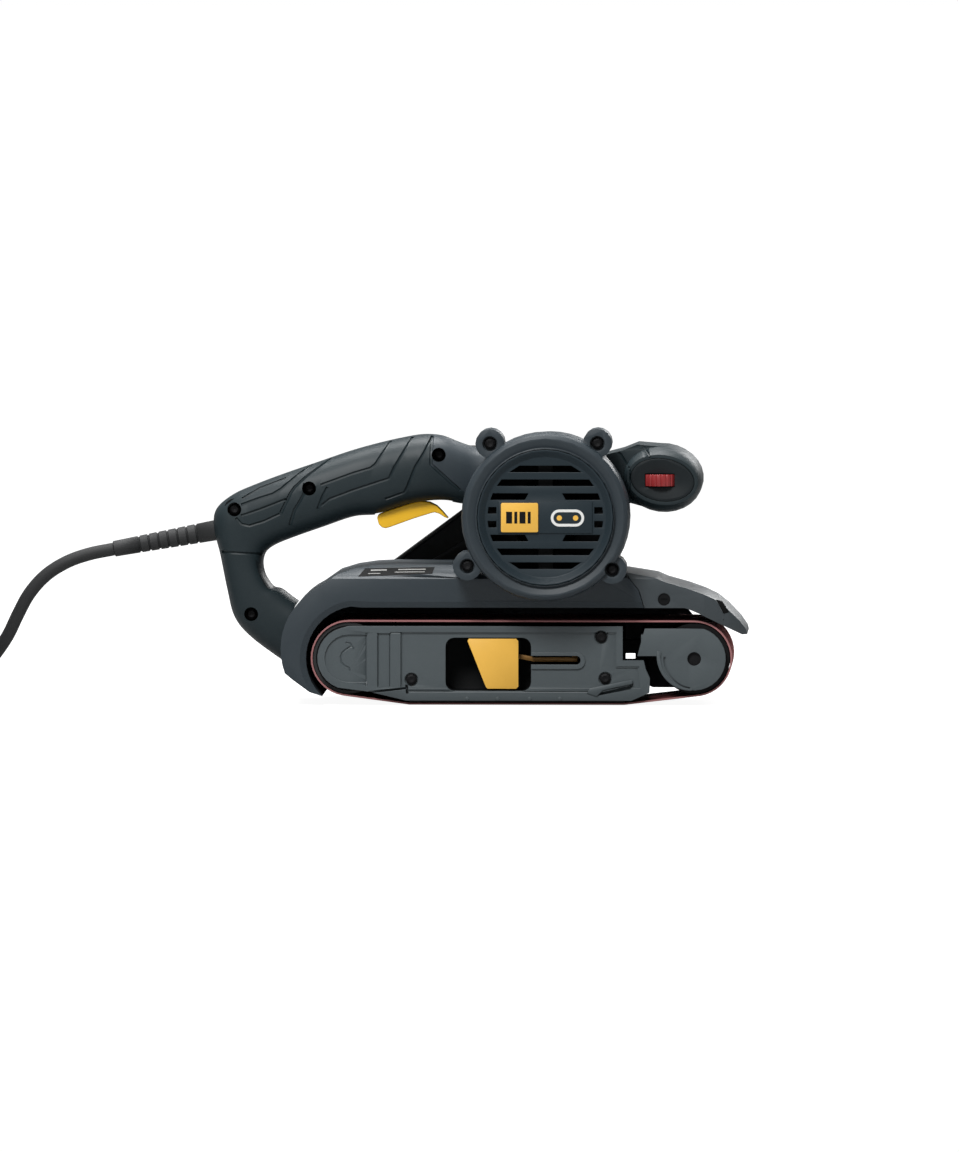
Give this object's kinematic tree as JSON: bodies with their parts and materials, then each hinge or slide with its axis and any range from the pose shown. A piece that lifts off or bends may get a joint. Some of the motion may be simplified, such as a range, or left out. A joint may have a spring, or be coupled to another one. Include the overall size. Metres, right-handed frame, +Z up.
{
  "type": "belt sander",
  "caption": "Handheld belt sander: casing over a belt on two rollers, sideways motor, D-shaped rear handle, front bar grip, tension lever and a coiled mains cord.",
  "frame": {"origin": "middle of the tool's box without its cord, on the flat underside of the sanding belt", "axes": "+X towards the nose, +Z up, +Y towards the drive side; the belt comes off on the -Y side"},
  "size_m": [0.5506, 0.1493, 0.1573],
  "materials": {
    "casing": "satin",
    "nose": "satin",
    "handle": "matte",
    "grey_casting": "painted satin",
    "yellow": "satin",
    "trigger": "satin",
    "red": "gloss",
    "black_plastic": "matte",
    "rubber": "matte",
    "abrasive": "gritty",
    "steel": "satin",
    "aluminium": "machined",
    "graphite": "matte"
  },
  "bodies": {
    "root": {"main_housing": "casing", "motor_end_cover": "casing", "vent_grille": "casing", "front_hood": "nose", "handle_shell_right": "handle", "handle_shell_left": "handle", "front_grip": "handle", "side_plate": "grey_casting", "belt_frame": "grey_casting", "badge_plate": "yellow", "drive_cover": "black_plastic", "dust_outlet": "black_plastic", "grip_cap": "black_plastic", "brush_plate": "black_plastic", "switch_body": "black_plastic", "cord_guard": "rubber", "power_cord": "rubber", "cord_tail": "rubber", "cord_coil": "rubber", "power_plug": "rubber", "timing_belt": "rubber", "sanding_belt": "abrasive", "platen": "steel", "tension_spring": "steel", "drive_bearing": "steel", "stator_core": "steel", "motor_bearing_left": "steel", "motor_bearing_right": "steel", "cover_screw_1": "steel", "cover_screw_2": "steel", "cover_screw_3": "steel", "cover_screw_4": "steel", "handle_screw_1": "steel", "handle_screw_2": "steel", "handle_screw_3": "steel", "handle_screw_4": "steel", "plate_screw_1": "steel", "plate_screw_2": "steel", "plate_screw_3": "steel", "sole_pad": "graphite", "carbon_brush_rear": "graphite", "carbon_brush_front": "graphite"},
    "armature": {"motor_shaft": "steel", "armature_core": "steel", "cooling_fan": "black_plastic", "motor_pulley": "steel"},
    "rear_roller": {"drive_roller": "aluminium", "roller_sleeve": "rubber", "drive_shaft": "steel", "driven_pulley": "black_plastic"},
    "lever": {"tension_lever": "yellow"},
    "slider": {"yoke_slider": "aluminium", "tension_rod": "yellow"},
    "yoke": {"front_yoke": "grey_casting", "front_axle": "steel"},
    "nose_roller": {"front_roller": "aluminium"},
    "tracking": {"tracking_knob": "black_plastic"},
    "trigger": {"trigger": "trigger"},
    "lock": {"lock_button": "trigger"},
    "dial": {"speed_dial": "red"}
  },
  "joints": [
    {"name": "motor_spin", "type": "hinge", "parent": "root", "child": "armature", "pos_m": [0.038, 0, 0.1073], "axis": [0, 1, 0], "continuous": true},
    {"name": "rear_roller_spin", "type": "hinge", "parent": "root", "child": "rear_roller", "pos_m": [-0.074, 0, 0.0263], "axis": [0, 1, 0], "continuous": true},
    {"name": "lever_turn", "type": "hinge", "parent": "root", "child": "lever", "pos_m": [0.0203, -0.036, 0.0263], "axis": [0, 0, 1], "range_deg": [0, 100]},
    {"name": "tension_slide", "type": "slide", "parent": "root", "child": "slider", "axis": [-1, 0, 0], "range_m": [0, 0.0055], "deforming": ["tension_spring", "sanding_belt"]},
    {"name": "yoke_tilt", "type": "hinge", "parent": "slider", "child": "yoke", "pos_m": [0.0945, 0, 0.0263], "axis": [0, 0, 1], "range_deg": [-1, 1], "deforming": ["sanding_belt"]},
    {"name": "nose_roller_spin", "type": "hinge", "parent": "yoke", "child": "nose_roller", "pos_m": [0.1215, 0, 0.0263], "axis": [0, 1, 0], "continuous": true},
    {"name": "tracking_turn", "type": "hinge", "parent": "root", "child": "tracking", "pos_m": [0.1015, 0.05, 0.0373], "axis": [0, 1, 0], "range_deg": [-180, 180]},
    {"name": "trigger_pull", "type": "slide", "parent": "root", "child": "trigger", "axis": [-0.3322, 0, 0.9432], "range_m": [0, 0.004], "stiffness_N_per_m": 1500, "springref_m": -0.002},
    {"name": "lock_press", "type": "slide", "parent": "root", "child": "lock", "axis": [0, -1, 0], "range_m": [0, 0.003], "stiffness_N_per_m": 800, "springref_m": -0.001},
    {"name": "dial_turn", "type": "hinge", "parent": "root", "child": "dial", "pos_m": [0.1019, -0.0305, 0.127], "axis": [0, 0, 1], "range_deg": [-130, 130]}
  ],
  "couplings": [
    {"joint": "rear_roller_spin", "follows": "motor_spin", "ratio": 0.39286},
    {"joint": "nose_roller_spin", "follows": "motor_spin", "ratio": 0.39286},
    {"joint": "lever_turn", "follows": "tension_slide", "rad_per_m": 317.3},
    {"joint": "tracking_turn", "follows": "yoke_tilt", "ratio": 179.9}
  ]
}
